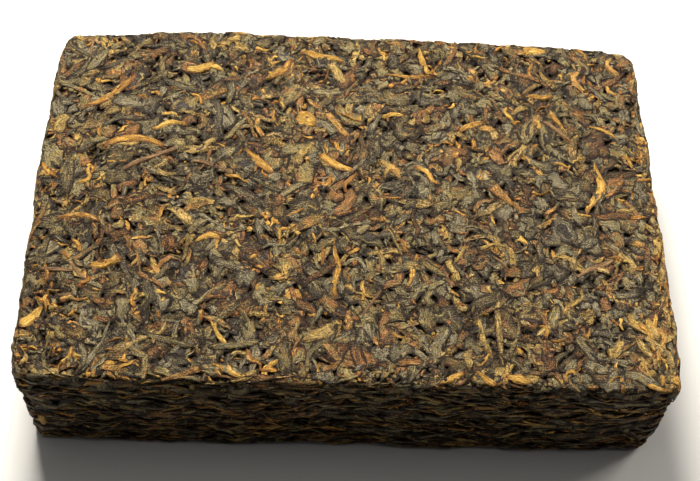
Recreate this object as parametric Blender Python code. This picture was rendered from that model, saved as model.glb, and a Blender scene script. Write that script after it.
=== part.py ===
"""A pressed pu erh tea brick: one block of compressed tea leaves, standing on its flat underside.

Metres, +Z up, origin at the centre of the underside. The long side lies along X.
"""

import math

import bmesh
import bpy
from mathutils import Vector, noise

# Driving dimensions of the pressed block
BRICK_LENGTH = 0.140
BRICK_WIDTH = 0.097
BRICK_HEIGHT = 0.0300
CORNER_RADIUS = 0.0034  # the upright corners, seen from above
RIM_RADIUS = 0.0018  # the edges round the top and the underside
MOULD_DRAFT = 0.0008  # how far each side leans in from the top edge to the underside

# How far each side bows outwards between its corners, because the tea swells when it leaves the mould
BOW_LEFT = 0.0017
BOW_RIGHT = 0.0007
BOW_FRONT = 0.0003
BOW_BACK = 0.0027
BOW_POWER = 4  # a high power keeps the middle of a side straight and bends it near the corners

# Size of the facets that carry the uneven surface
CELL = 0.0035

# The uneven surface: broad waves of the whole face, leaf sized lumps and the gaps between them
WAVE_LENGTH = 0.038
WAVE_DEPTH = 0.0007
LUMP_LENGTH = 0.0085
LUMP_DEPTH = 0.0010
LUMP_FLOOR = 0.35  # lumps shallower than this share of their depth are pressed flat
GAP_LENGTH = 0.0150
GAP_WIDTH = 0.22  # as a share of GAP_LENGTH
GAP_DEPTH = 0.0006
WALL_BELLY = 0.0006  # the walls belly out a little, halfway up
UNDERSIDE_SHARE = 0.55  # the underside was pressed on a plate, so its relief is shallower
PLATE_DEPTH = 0.0005  # relief less deep than this is quite flat on the underside
FLAT_REST_RADIUS = 0.016  # the middle of the underside is quite flat

TEA_COLOUR = (0.062, 0.048, 0.032, 1.0)
TEA_ROUGHNESS = 0.72


def clear_scene():
    for old in list(bpy.data.objects):
        bpy.data.objects.remove(old)


def tea_material():
    material = bpy.data.materials.new("pressed_tea")
    material.use_nodes = True
    shader = material.node_tree.nodes["Principled BSDF"]
    shader.inputs["Base Color"].default_value = TEA_COLOUR
    shader.inputs["Roughness"].default_value = TEA_ROUGHNESS
    shader.inputs["Metallic"].default_value = 0.0
    return material


def slice_offsets(length):
    """Where the planes cut one side: at the inner edge of both round rims, and evenly between them."""
    middle = length - 2 * RIM_RADIUS
    cells = round(middle / CELL)
    return [RIM_RADIUS + middle * i / cells for i in range(cells + 1)]


def sliced_block():
    """A cube scaled to the block and sliced by evenly spaced planes into cells."""
    block = bmesh.new()
    bmesh.ops.create_cube(block, size=1.0)
    size = Vector((BRICK_LENGTH, BRICK_WIDTH, BRICK_HEIGHT))
    bmesh.ops.scale(block, vec=size, verts=block.verts)
    bmesh.ops.translate(block, vec=(0, 0, BRICK_HEIGHT / 2), verts=block.verts)
    for axis in range(3):
        start = -size[axis] / 2 if axis < 2 else 0.0
        normal = Vector((0, 0, 0))
        normal[axis] = 1.0
        for offset in slice_offsets(size[axis]):
            everything = block.verts[:] + block.edges[:] + block.faces[:]
            cut_at = normal * (start + offset)
            bmesh.ops.bisect_plane(block, geom=everything, plane_co=cut_at, plane_no=normal)
    return block


def square_to_round(offset):
    """Moves a point of a square corner onto the round corner inside it, straight towards the centre."""
    longest = max(abs(c) for c in offset)
    return offset * (longest / offset.length) if offset.length > 0 else offset


def rounded(point):
    """The place of a point of the plain block on the block with round corners, round rims and draft."""
    half = Vector((BRICK_LENGTH / 2, BRICK_WIDTH / 2))
    core = half - Vector((CORNER_RADIUS, CORNER_RADIUS))
    nearest = Vector((max(-core.x, min(core.x, point.x)), max(-core.y, min(core.y, point.y))))
    offset = square_to_round(point.xy - nearest)
    height = point.z
    if offset.length > 0:
        outward = offset.normalized()
        from_middle = BRICK_HEIGHT / 2 - abs(height - BRICK_HEIGHT / 2)
        rim = Vector((offset.length - (CORNER_RADIUS - RIM_RADIUS), RIM_RADIUS - from_middle))
        if rim.x > 0 and rim.y > 0:
            rim = square_to_round(rim)
            offset = outward * (CORNER_RADIUS - RIM_RADIUS + rim.x)
            lower_half = height < BRICK_HEIGHT / 2
            height = RIM_RADIUS - rim.y if lower_half else BRICK_HEIGHT - RIM_RADIUS + rim.y
    plan = nearest + offset
    lean = MOULD_DRAFT * (1 - height / BRICK_HEIGHT)
    return Vector((plan.x * (1 - lean / half.x), plan.y * (1 - lean / half.y), height))


def leaf_relief(point):
    """Depth of the surface below the press plate: broad waves, lumps of leaf and gaps between leaves."""
    wave = 0.5 - 0.5 * noise.noise(point / WAVE_LENGTH)
    lump = 0.5 - 0.5 * noise.fractal(point / LUMP_LENGTH, 1.0, 2.0, 2)
    nearest, second = noise.voronoi(point / GAP_LENGTH)[0][:2]
    gap = math.exp(-(((second - nearest) / GAP_WIDTH) ** 2))
    return WAVE_DEPTH * wave + LUMP_DEPTH * max(0.0, lump - LUMP_FLOOR) + GAP_DEPTH * gap


def bowed(point):
    """Stretches the block sideways: most along its middle lines, and not at all at its corners."""
    across = Vector((2 * point.x / BRICK_LENGTH, 2 * point.y / BRICK_WIDTH))
    bow_x = BOW_RIGHT if point.x > 0 else BOW_LEFT
    bow_y = BOW_BACK if point.y > 0 else BOW_FRONT
    x = point.x + bow_x * across.x * (1 - min(1.0, abs(across.y)) ** BOW_POWER)
    y = point.y + bow_y * across.y * (1 - min(1.0, abs(across.x)) ** BOW_POWER)
    return Vector((x, y, point.z))


def wall_belly(point):
    """How far the walls stand out at a height: a half sine from the underside to the top."""
    return WALL_BELLY * math.sin(math.pi * max(0.0, min(1.0, point.z / BRICK_HEIGHT)))


def press_leaves(block):
    """Moves every point along its normal by the relief, and leaves a flat middle under the block."""
    for vert in block.verts:
        vert.co = bowed(rounded(vert.co))
    block.normal_update()
    moves = []
    for vert in block.verts:
        depth = leaf_relief(vert.co)
        sideways = 1 - abs(vert.normal.z)
        if vert.normal.z < -0.5:
            from_centre = vert.co.xy.length
            ramp = max(0.0, min(1.0, from_centre / FLAT_REST_RADIUS - 1))
            depth = UNDERSIDE_SHARE * ramp * max(0.0, depth - PLATE_DEPTH)
        moves.append(vert.normal * (wall_belly(vert.co) * sideways - depth))
    for vert, move in zip(block.verts, moves):
        vert.co += move


def fit_to_size(block):
    """Centres the block, sets its lowest points on the ground and brings it to its nominal size."""
    low = Vector([min(v.co[i] for v in block.verts) for i in range(3)])
    high = Vector([max(v.co[i] for v in block.verts) for i in range(3)])
    size = Vector((BRICK_LENGTH, BRICK_WIDTH, BRICK_HEIGHT))
    centre = Vector(((low.x + high.x) / 2, (low.y + high.y) / 2, low.z))
    stretch = Vector([size[i] / (high[i] - low[i]) for i in range(3)])
    bmesh.ops.translate(block, vec=-centre, verts=block.verts)
    bmesh.ops.scale(block, vec=stretch, verts=block.verts)


def add_tea_brick(collection):
    block = sliced_block()
    press_leaves(block)
    fit_to_size(block)
    bmesh.ops.triangulate(block, faces=block.faces)
    bmesh.ops.recalc_face_normals(block, faces=block.faces)
    mesh = bpy.data.meshes.new("tea_brick")
    block.to_mesh(mesh)
    block.free()
    mesh.materials.append(tea_material())
    brick = bpy.data.objects.new("tea_brick", mesh)
    collection.objects.link(brick)
    return brick


def main():
    clear_scene()
    parts = bpy.data.collections.new("pu_erh_tea_brick")
    bpy.context.scene.collection.children.link(parts)
    add_tea_brick(parts)


main()
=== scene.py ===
# %% [markdown]
# # A pressed pu erh tea brick
#
# The real brick is a block of fermented tea leaves. They are steamed soft, heaped in a mould and
# squeezed between two plates. What shows is thousands of twisted leaves, buds and stalks, lying one
# over the other, with their tops pressed into one plane and narrow dark gaps in between.
#
# A bumpy picture on a box would be quick, but it has no real edges and no real gaps. So this script
# does what the tea maker does: it drops leaves one after another on a height map, drapes each on
# what lies below, and then presses the heap flat. Every leaf that still shows becomes a small closed
# tube in one mesh for each kind.

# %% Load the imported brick
import math

import bmesh
import bpy
import numpy as np
from mathutils import Matrix, Vector
from mathutils.bvhtree import BVHTree


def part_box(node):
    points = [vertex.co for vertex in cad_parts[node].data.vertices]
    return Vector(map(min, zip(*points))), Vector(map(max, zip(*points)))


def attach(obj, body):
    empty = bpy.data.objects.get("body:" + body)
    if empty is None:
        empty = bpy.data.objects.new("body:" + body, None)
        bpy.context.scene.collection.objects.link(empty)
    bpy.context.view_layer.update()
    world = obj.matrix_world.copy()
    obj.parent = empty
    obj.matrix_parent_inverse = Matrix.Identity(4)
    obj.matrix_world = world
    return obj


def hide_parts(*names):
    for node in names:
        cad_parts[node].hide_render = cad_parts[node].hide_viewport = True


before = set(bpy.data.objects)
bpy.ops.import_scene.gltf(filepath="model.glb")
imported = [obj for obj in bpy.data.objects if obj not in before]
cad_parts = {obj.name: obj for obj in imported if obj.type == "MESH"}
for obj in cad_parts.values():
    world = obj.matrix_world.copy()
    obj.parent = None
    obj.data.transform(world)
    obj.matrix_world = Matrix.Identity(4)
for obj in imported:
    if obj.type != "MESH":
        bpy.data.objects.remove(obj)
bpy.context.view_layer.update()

MM = 0.001
BRICK = "tea_brick"
brick_low, brick_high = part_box(BRICK)
LENGTH, WIDTH, HEIGHT = brick_high - brick_low
print(f"packed brick: {LENGTH / MM:.1f} x {WIDTH / MM:.1f} x {HEIGHT / MM:.1f} mm")

# %% [markdown]
# ## Camera, lights and floor
#
# The brick is looked at from the front and from well above, with the camera turned a few degrees to
# the left and rolled a little. A tracking constraint could aim it, but a matrix made from its three
# axes holds the roll as well, in one place.
#
# The big soft lamp hangs behind the brick and above it. It rakes over the leaves towards the camera,
# so each one has a bright far edge and a shadow on its near side, and the front wall stays dark.

# %% Camera
VIEW_AZIMUTH, VIEW_ELEVATION, VIEW_ROLL = (math.radians(a) for a in (-4.36, 55.30, 5.27))
VIEW_DISTANCE = 287.4 * MM
VIEW_TARGET = Vector((0.1 * MM, -12.7 * MM, HEIGHT))
LENS_MM = 68.0
SENSOR_MM = 36.0


def camera_at(azimuth, elevation, roll, distance, target):
    """The camera's matrix. Its Z axis points back along azimuth and elevation; X is level, then rolled."""
    back = Vector((
        math.sin(azimuth) * math.cos(elevation),
        -math.cos(azimuth) * math.cos(elevation),
        math.sin(elevation),
    ))
    level = (-back).cross(Vector((0, 0, 1))).normalized()
    upright = level.cross(-back)
    right = level * math.cos(roll) + upright * math.sin(roll)
    up = upright * math.cos(roll) - level * math.sin(roll)
    place = target + back * distance
    return Matrix([[right[i], up[i], back[i], place[i]] for i in range(3)] + [[0, 0, 0, 1]])


camera = bpy.data.objects.new("camera", bpy.data.cameras.new("camera"))
bpy.context.scene.collection.objects.link(camera)
camera.data.lens = LENS_MM
camera.data.sensor_width = SENSOR_MM
camera.data.clip_start = 10 * MM
camera.matrix_world = camera_at(
    VIEW_AZIMUTH, VIEW_ELEVATION, VIEW_ROLL, VIEW_DISTANCE, VIEW_TARGET)
bpy.context.scene.camera = camera

# %% Lights and floor


def soft_lamp(name, place, size, watts, colour):
    """A square area lamp at a place, turned to face the brick."""
    lamp = bpy.data.objects.new(name, bpy.data.lights.new(name, "AREA"))
    lamp.data.size = size
    lamp.data.energy = watts
    lamp.data.color = colour
    lamp.location = place
    lamp.rotation_euler = (VIEW_TARGET - Vector(place)).to_track_quat("-Z", "Y").to_euler()
    bpy.context.scene.collection.objects.link(lamp)


def plain_floor(size, colour):
    """A pale square under the brick, which is stage and not part of the object."""
    mesh = bpy.data.meshes.new("floor")
    half = size / 2
    mesh.from_pydata(
        [(-half, -half, 0), (half, -half, 0), (half, half, 0), (-half, half, 0)], [], [(0, 1, 2, 3)])
    material = bpy.data.materials.new("pale_floor")
    material.use_nodes = True
    shader = material.node_tree.nodes["Principled BSDF"]
    shader.inputs["Base Color"].default_value = colour
    shader.inputs["Roughness"].default_value = 0.9
    mesh.materials.append(material)
    floor = bpy.data.objects.new("floor", mesh)
    bpy.context.scene.collection.objects.link(floor)


soft_lamp("key_behind", (-0.10, 0.38, 0.48), size=0.22, watts=11.5, colour=(1.0, 0.95, 0.87))
soft_lamp("rim_right", (0.46, 0.24, 0.26), size=0.22, watts=2.6, colour=(1.0, 0.95, 0.88))
soft_lamp("fill_above", (-0.10, 0.02, 0.66), size=0.50, watts=1.0, colour=(1.0, 0.98, 0.95))
plain_floor(size=6.0, colour=(0.52, 0.515, 0.50, 1.0))

world = bpy.data.worlds.new("soft_room")
world.use_nodes = True
sky = world.node_tree.nodes["Background"].inputs
sky["Color"].default_value = (1.0, 0.98, 0.95, 1.0)
sky["Strength"].default_value = 0.05
bpy.context.scene.world = world
bpy.context.scene.view_settings.view_transform = "Standard"

# %% [markdown]
# ## Three sheets round the block
#
# Leaves are easiest to drop on something flat. So the block gets three flat sheets: a lid over the
# top, the same lid turned over for the underside, and a band round the four sides. Each sheet knows
# how to bend itself round the block: straight over the faces, and in a quarter circle over the rims.
# A leaf that lies across an edge then folds over it, as a wet leaf does in the mould.

# %% How the sheets bend round the block
CORNER = 3.4 * MM  # radius of the upright corners
RIM = 1.8 * MM  # radius of the edges round the top and the underside
DRAFT = 0.8 * MM  # how far the sides lean in at the underside
BOW_LEFT, BOW_RIGHT, BOW_FRONT, BOW_BACK = 1.7 * MM, 0.7 * MM, 0.3 * MM, 2.7 * MM
BOW_POWER = 4
QUARTER = math.pi / 2
CORE_X, CORE_Y = LENGTH / 2 - CORNER, WIDTH / 2 - CORNER


def moulded(place):
    """Bows the four sides outwards, leans them in towards the underside, and keeps the whole size.

    A side is pushed out by its bow times 1 minus the fourth power of the way from its middle to its
    corner, and points inside the block move in proportion.
    """
    half = np.array([LENGTH, WIDTH]) / 2
    share = place[..., :2] / half
    low_bow, high_bow = np.array([BOW_LEFT, BOW_FRONT]), np.array([BOW_RIGHT, BOW_BACK])
    bow = np.where(share > 0, high_bow, low_bow)
    fade = 1 - np.minimum(np.abs(share[..., ::-1]), 1) ** BOW_POWER
    plan = place[..., :2] + bow * share * fade
    plan = (plan - (high_bow - low_bow) / 2) / (1 + (high_bow + low_bow) / (2 * half))
    depth = 1 - place[..., 2:] / HEIGHT
    return np.concatenate([plan * (1 - DRAFT * depth / half), place[..., 2:]], -1)


def lid(a, b):
    """Place and normal of lid point (a, b).

    The way out from the core rectangle is walked along the face, then RIM times the angle round the
    rim, then straight down the side.
    """
    flat = np.stack([a, b], -1)
    nearest = np.clip(flat, [-CORE_X, -CORE_Y], [CORE_X, CORE_Y])
    walked = np.linalg.norm(flat - nearest, axis=-1)
    outward = (flat - nearest) / np.maximum(walked, 1e-12)[..., None]
    past_face = walked - (CORNER - RIM)
    turn = np.clip(past_face / RIM, 0, QUARTER)
    down_side = np.maximum(past_face - RIM * QUARTER, 0)
    out = np.where(past_face > 0, CORNER - RIM + RIM * np.sin(turn), walked)
    height = HEIGHT - RIM * (1 - np.cos(turn)) - down_side
    place = np.concatenate([nearest + outward * out[..., None], height[..., None]], -1)
    normal = np.concatenate([outward * np.sin(turn)[..., None], np.cos(turn)[..., None]], -1)
    return place, normal


def underside(a, b):
    """The lid turned half round the X axis through the middle of the block."""
    place, normal = lid(a, b)
    half_turn = np.array([1.0, -1.0, -1.0])
    return place * half_turn + [0, 0, HEIGHT], normal * half_turn


STRAIGHTS = np.array([2 * CORE_X, 2 * CORE_Y, 2 * CORE_X, 2 * CORE_Y])
STRETCHES = np.stack([STRAIGHTS, np.full(4, CORNER * QUARTER)], 1).ravel()
STARTS = np.concatenate([[0], np.cumsum(STRETCHES)])
GIRTH = STARTS[-1]
STRETCH_ENDS = np.array([(-1, -1), (1, -1), (1, -1), (1, 1), (1, 1), (-1, 1), (-1, 1), (-1, -1)])


def band(u, w):
    """Place and normal of band point (u, w): u is the way round the sides, w the height from halfway.

    The way round is four straights and four quarter circles; past a rim the band turns inwards.
    """
    u = np.mod(u, GIRTH)
    stretch = np.clip(np.searchsorted(STARTS, u, side="right") - 1, 0, 7)
    gone = u - STARTS[stretch]
    on_corner = stretch % 2 == 1
    heading = (stretch // 2) * QUARTER + np.where(on_corner, gone / CORNER, 0)
    along = np.stack([np.cos(heading), np.sin(heading)], -1)
    outward = np.stack([np.sin(heading), -np.cos(heading)], -1)
    start = STRETCH_ENDS[stretch] * [CORE_X, CORE_Y]
    ring = start + outward * CORNER + along * np.where(on_corner, 0, gone)[..., None]
    past_wall = np.abs(w) - (HEIGHT / 2 - RIM)
    turn = np.clip(past_wall / RIM, 0, QUARTER)
    inwards = RIM * (1 - np.cos(turn)) + np.maximum(past_wall - RIM * QUARTER, 0)
    rise = np.where(past_wall > 0, HEIGHT / 2 - RIM + RIM * np.sin(turn), np.abs(w))
    height = HEIGHT / 2 + np.sign(w) * rise
    place = np.concatenate([ring - outward * inwards[..., None], height[..., None]], -1)
    normal = np.concatenate(
        [outward * np.cos(turn)[..., None], (np.sign(w) * np.sin(turn))[..., None]], -1)
    return place, normal

# %% [markdown]
# ## The height map of a sheet
#
# A sheet is also a grid of small cells. Each cell holds how high the tea stands there, and which leaf
# is on top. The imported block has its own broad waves. Rays fired inwards every two millimetres find
# them, so that the leaves follow the block as it was packed and not an ideal one.

# %% A sheet with its height map
CELL = 0.30 * MM
SKIN_CELL = 2.0 * MM
SHEET_MARGIN = 7.0 * MM  # how far a sheet's cells run on past the middle of a rim
RAY_START = 6.0 * MM
SKIN_LIMIT = 2.0 * MM  # rays that find the block further off than this met a rim

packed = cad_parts[BRICK].data
packed_tree = BVHTree.FromPolygons(
    [v.co for v in packed.vertices], [tuple(p.vertices) for p in packed.polygons])


def bilinear(grid, rows, columns):
    """Values of a grid between its points: the mean of the four round a place, weighted by nearness."""
    rows = np.clip(rows, 0, grid.shape[0] - 1.001)
    columns = np.clip(columns, 0, grid.shape[1] - 1.001)
    r, c = rows.astype(int), columns.astype(int)
    fr, fc = rows - r, columns - c
    near = grid[r, c] * (1 - fc) + grid[r, c + 1] * fc
    far = grid[r + 1, c] * (1 - fc) + grid[r + 1, c + 1] * fc
    return near * (1 - fr) + far * fr


def blurred(grid, radius):
    """A Gaussian blur, with its radius in cells, done by damping the grid's high frequencies."""
    row_waves, column_waves = np.meshgrid(*(np.fft.fftfreq(n) for n in grid.shape), indexing="ij")
    damping = np.exp(-2 * (math.pi * radius) ** 2 * (row_waves ** 2 + column_waves ** 2))
    return np.real(np.fft.ifft2(np.fft.fft2(grid) * damping))


class Sheet:
    """A flat sheet that bends round the block, with the height of the tea above it in each cell."""

    def __init__(self, name, bend, half, goes_round, look):
        self.name, self.bend, self.goes_round, self.look = name, bend, goes_round, look
        self.rain_half = np.array(half)  # leaves fall with their middles inside this
        margin = np.array([0.0 if goes_round else SHEET_MARGIN, SHEET_MARGIN])
        self.low = -(self.rain_half + margin)
        self.size = -2 * self.low
        self.shape = tuple(int(n) for n in np.ceil(self.size[::-1] / CELL) + 1)
        self.height = np.zeros(self.shape)
        self.owner = np.full(self.shape, -1)
        self.skin = self.packed_skin()

    def packed_skin(self):
        """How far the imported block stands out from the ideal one, by rays fired inwards."""
        counts = (self.size / SKIN_CELL).astype(int) + 2
        a, b = np.meshgrid(*(self.low[i] + np.arange(counts[i]) * SKIN_CELL for i in (0, 1)))
        place, normal = self.bend(a, b)
        place = moulded(place)
        found = np.zeros(a.shape)
        for cell in np.ndindex(a.shape):
            outward = Vector(normal[cell])
            hit = packed_tree.ray_cast(Vector(place[cell]) + outward * RAY_START, -outward)
            found[cell] = RAY_START - hit[3] if hit[0] is not None else 0.0
        return np.clip(found, -SKIN_LIMIT, SKIN_LIMIT)

    def wrapped(self, a):
        """On the band, brings the way round back into the sheet."""
        return np.mod(a - self.low[0], self.size[0]) + self.low[0] if self.goes_round else a

    def cells(self, a, b):
        """Row and column of the cell that holds each point."""
        column = np.round((self.wrapped(a) - self.low[0]) / CELL).astype(int)
        row = np.round((b - self.low[1]) / CELL).astype(int)
        return np.clip(row, 0, self.shape[0] - 1), np.clip(column, 0, self.shape[1] - 1)

    def at(self, grid, step, a, b):
        """A grid's values between its points, for points of the sheet."""
        return bilinear(grid, (b - self.low[1]) / step, (self.wrapped(a) - self.low[0]) / step)

    def solid(self, a, b, above):
        """Points in space of sheet points (a, b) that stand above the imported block's skin."""
        place, normal = self.bend(a, b)
        lift = self.at(self.skin, SKIN_CELL, a, b) + self.look["lift"] + above
        return moulded(place) + normal * lift[..., None]


RIM_MIDDLE = RIM * (QUARTER / 2 - 1)  # from the ideal edge to the middle of the rim's arc
# lift and proud are in metres: where the pressed face lies, and how far a leaf may stand out of it.
# rain is the number of leaves that fall on a square centimetre. fine is their width and thickness, as
# a share of the usual. level is how many radians they may lean from the level, where they don't lie
# anyhow: the walls show the layers edge on, as thin level strips. step is how much of a step the press
# left, and pale how much commoner pale leaves are: the walls are rough, and broken leaf shows there.
# rings and rails are how many points a leaf's mesh has along it and over its top.
FACE_HALF = (LENGTH / 2 + RIM_MIDDLE, WIDTH / 2 + RIM_MIDDLE)
WALL_HALF = (GIRTH / 2, HEIGHT / 2 + RIM_MIDDLE)
sheets = [
    Sheet("top", lid, FACE_HALF, False,
          dict(rain=95, fine=1.0, level=None, step=0.24, pale=1.0, lift=0.42 * MM, proud=0.16 * MM,
               rings=8, rails=10)),
    Sheet("underside", underside, FACE_HALF, False,
          dict(rain=46, fine=1.30, level=None, step=0.30, pale=1.0, lift=0.0 * MM, proud=0.12 * MM,
               rings=6, rails=5)),
    Sheet("sides", band, WALL_HALF, True,
          dict(rain=110, fine=0.62, level=0.24, step=0.50, pale=1.4, lift=0.30 * MM, proud=0.36 * MM,
               rings=5, rails=4)),
]
for sheet in sheets:
    print(f"{sheet.name}: {sheet.shape[1]} x {sheet.shape[0]} cells, "
          f"skin {sheet.skin.min() / MM:.2f} to {sheet.skin.max() / MM:.2f} mm, "
          f"mean {sheet.skin.mean() / MM:.2f}")

# %% [markdown]
# ## The kinds of leaf
#
# The tea holds broad leaves, torn flakes of leaf, rolled and twisted ones, paler tawny ones, slim
# golden buds, straight red brown stalks and a lot of crumbs. They share one recipe: a line that bends,
# a width that tapers to both ends, a ragged outline, and a flat top with creases. Only the numbers
# differ, so each kind is a row in a small table, and a seeded generator draws each leaf's numbers.

# %% The table of kinds
RNG = np.random.default_rng(7581)
KNOTS = 8  # a ragged edge is a line of straight pieces between this many random knots
NARROW_BIAS = 1.2  # over 1 makes narrow leaves commoner
SHORT_WIDTH = 0.65  # width of the shortest leaves of a kind, as a share of the longest ones'
BEND_SPREAD = 0.6  # standard deviation of the bends, as a share of the kind's bend

# Lengths in millimetres, bend and sway in radians, the rest as shares. size_bias over 1 makes small
# leaves commoner. A low end is blunt, a high one pointed.
KINDS = {
    "broad_leaf": dict(
        share=0.20, length=(4.5, 12.0), width=(2.2, 5.6), thick=(0.20, 0.46), size_bias=1.2,
        bend=0.5, sway=0.25, ends=(0.20, 0.65), ragged=0.34, flat=(4.0, 9.0), crease=0.50,
        twist=0.14, cup=0.22, finish="dark_leaf", detail=1.0),
    "torn_leaf": dict(
        share=0.13, length=(3.2, 7.5), width=(2.6, 6.4), thick=(0.20, 0.44), size_bias=1.1,
        bend=0.3, sway=0.20, ends=(0.08, 0.35), ragged=0.46, flat=(5.0, 10.0), crease=0.40,
        twist=0.12, cup=0.14, finish="dark_leaf", detail=1.0),
    "rolled_leaf": dict(
        share=0.13, length=(4.0, 17.0), width=(1.2, 2.8), thick=(0.35, 0.70), size_bias=1.4,
        bend=1.0, sway=0.45, ends=(0.25, 0.80), ragged=0.24, flat=(2.6, 5.0), crease=0.50,
        twist=0.45, cup=0.10, finish="dark_leaf", detail=1.0),
    "tawny_leaf": dict(
        share=0.11, length=(3.0, 11.5), width=(1.4, 3.2), thick=(0.25, 0.55), size_bias=1.5,
        bend=0.8, sway=0.40, ends=(0.20, 0.70), ragged=0.30, flat=(3.0, 7.0), crease=0.55,
        twist=0.35, cup=0.30, finish="tawny_leaf", detail=0.9),
    "golden_bud": dict(
        share=0.10, length=(2.2, 7.5), width=(0.7, 1.7), thick=(0.30, 0.60), size_bias=1.4,
        bend=1.5, sway=0.50, ends=(0.20, 0.70), ragged=0.24, flat=(2.2, 3.4), crease=0.35,
        twist=0.35, cup=0.0, finish="golden_bud", detail=1.1),
    "stalk": dict(
        share=0.005, length=(4.0, 10.0), width=(0.9, 1.5), thick=(0.45, 0.75), size_bias=1.0,
        bend=0.2, sway=0.08, ends=(0.05, 0.15), ragged=0.07, flat=(2.4, 3.4), crease=0.30,
        twist=0.10, cup=0.0, finish="stalk", detail=0.8),
    "dark_crumb": dict(
        share=0.16, length=(1.0, 3.0), width=(0.7, 2.2), thick=(0.20, 0.50), size_bias=1.2,
        bend=0.5, sway=0.2, ends=(0.15, 0.5), ragged=0.35, flat=(2.2, 4.0), crease=0.30,
        twist=0.30, cup=0.0, finish="dark_leaf", detail=0.5),
    "golden_crumb": dict(
        share=0.085, length=(0.8, 2.6), width=(0.5, 1.5), thick=(0.20, 0.45), size_bias=1.2,
        bend=0.9, sway=0.3, ends=(0.15, 0.5), ragged=0.30, flat=(2.2, 4.0), crease=0.30,
        twist=0.30, cup=0.0, finish="golden_bud", detail=0.5),
}


def between(limits, shape, bias=1.0):
    """Random numbers between two limits; a bias over 1 makes low ones more common."""
    return limits[0] + (limits[1] - limits[0]) * RNG.random(shape) ** bias


def drawn_leaves(name, count, sheet):
    """The random numbers of count leaves of one kind, spread over a sheet, as a dict of arrays."""
    kind = KINDS[name]
    turn = 2 * math.pi
    place = (2 * RNG.random((count, 2)) - 1) * sheet.rain_half
    size = RNG.random(count) ** kind["size_bias"]
    shortest, longest = kind["length"]
    length = shortest + (longest - shortest) * size
    slimming = SHORT_WIDTH + (1 - SHORT_WIDTH) * size
    level, fine = sheet.look["level"], sheet.look["fine"]
    heading = RNG.random(count) * turn if level is None else RNG.normal(0, level, count)
    return {
        "kind": np.full(count, list(KINDS).index(name)),
        "a": place[:, 0],
        "b": place[:, 1],
        "heading": heading + math.pi * RNG.integers(0, 2, count),
        "length": length * MM,
        "width": between(kind["width"], count, NARROW_BIAS) * slimming * fine * MM,
        "thick": between(kind["thick"], count) * fine ** 0.5 * MM,
        "bend": RNG.normal(0, kind["bend"] * BEND_SPREAD, count),
        "sway": RNG.normal(0, kind["sway"], count),
        "sway_start": RNG.random(count) * turn,
        "ends": between(kind["ends"], (count, 2)),
        "ragged": kind["ragged"] * between((0.5, 1.5), count),
        "edge_knots": RNG.normal(0, 1, (count, 2, KNOTS)),
        "lump_knots": RNG.normal(0, 1, (count, 1, KNOTS)),
        "flat": between(kind["flat"], count),
        "crease_at": between((-0.6, 0.6), (count, 2)),
        "crease_drift": RNG.normal(0, 0.5, (count, 2)),
        "crease_width": between((0.10, 0.28), (count, 2)),
        "crease": kind["crease"] * between((0.2, 1.2), (count, 2)),
        "twist": RNG.normal(0, kind["twist"], count),
        "twist_turns": between((0.3, 1.6), count),
        "twist_start": RNG.random(count) * turn,
        "cup": RNG.normal(0, 1, count) * kind["cup"],
        "tone": RNG.random(count),
        "hue": RNG.random(count),
    }


# %% [markdown]
# ## The shape of one leaf
#
# A leaf is a function of two numbers, along and across. It could be a bent plane with Solidify, but
# then each leaf would be an object of its own. As arrays, fifty leaves are worked out at once.

# %% All leaves of a batch on a grid
ALONG = np.linspace(0, 1, 45)
ACROSS = np.sin(np.linspace(-QUARTER, QUARTER, 19))  # closer together towards the edges
HATS = np.maximum(0, 1 - np.abs(ALONG * (KNOTS - 1) - np.arange(KNOTS)[:, None]))
LUMPINESS = 0.16
THINNEST = 0.12  # a leaf is never thinner than this share of its thickness, away from its edge
SWAY_WAVE, TWIST_WAVE = 8, 6.3  # in radians over the whole leaf
LEAST_EDGE = 0.35  # a ragged edge cuts no deeper than to this share of the half width
CUP_LEVEL = 0.4  # how much of a cup lowers the middle; the rest lifts the edges


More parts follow.
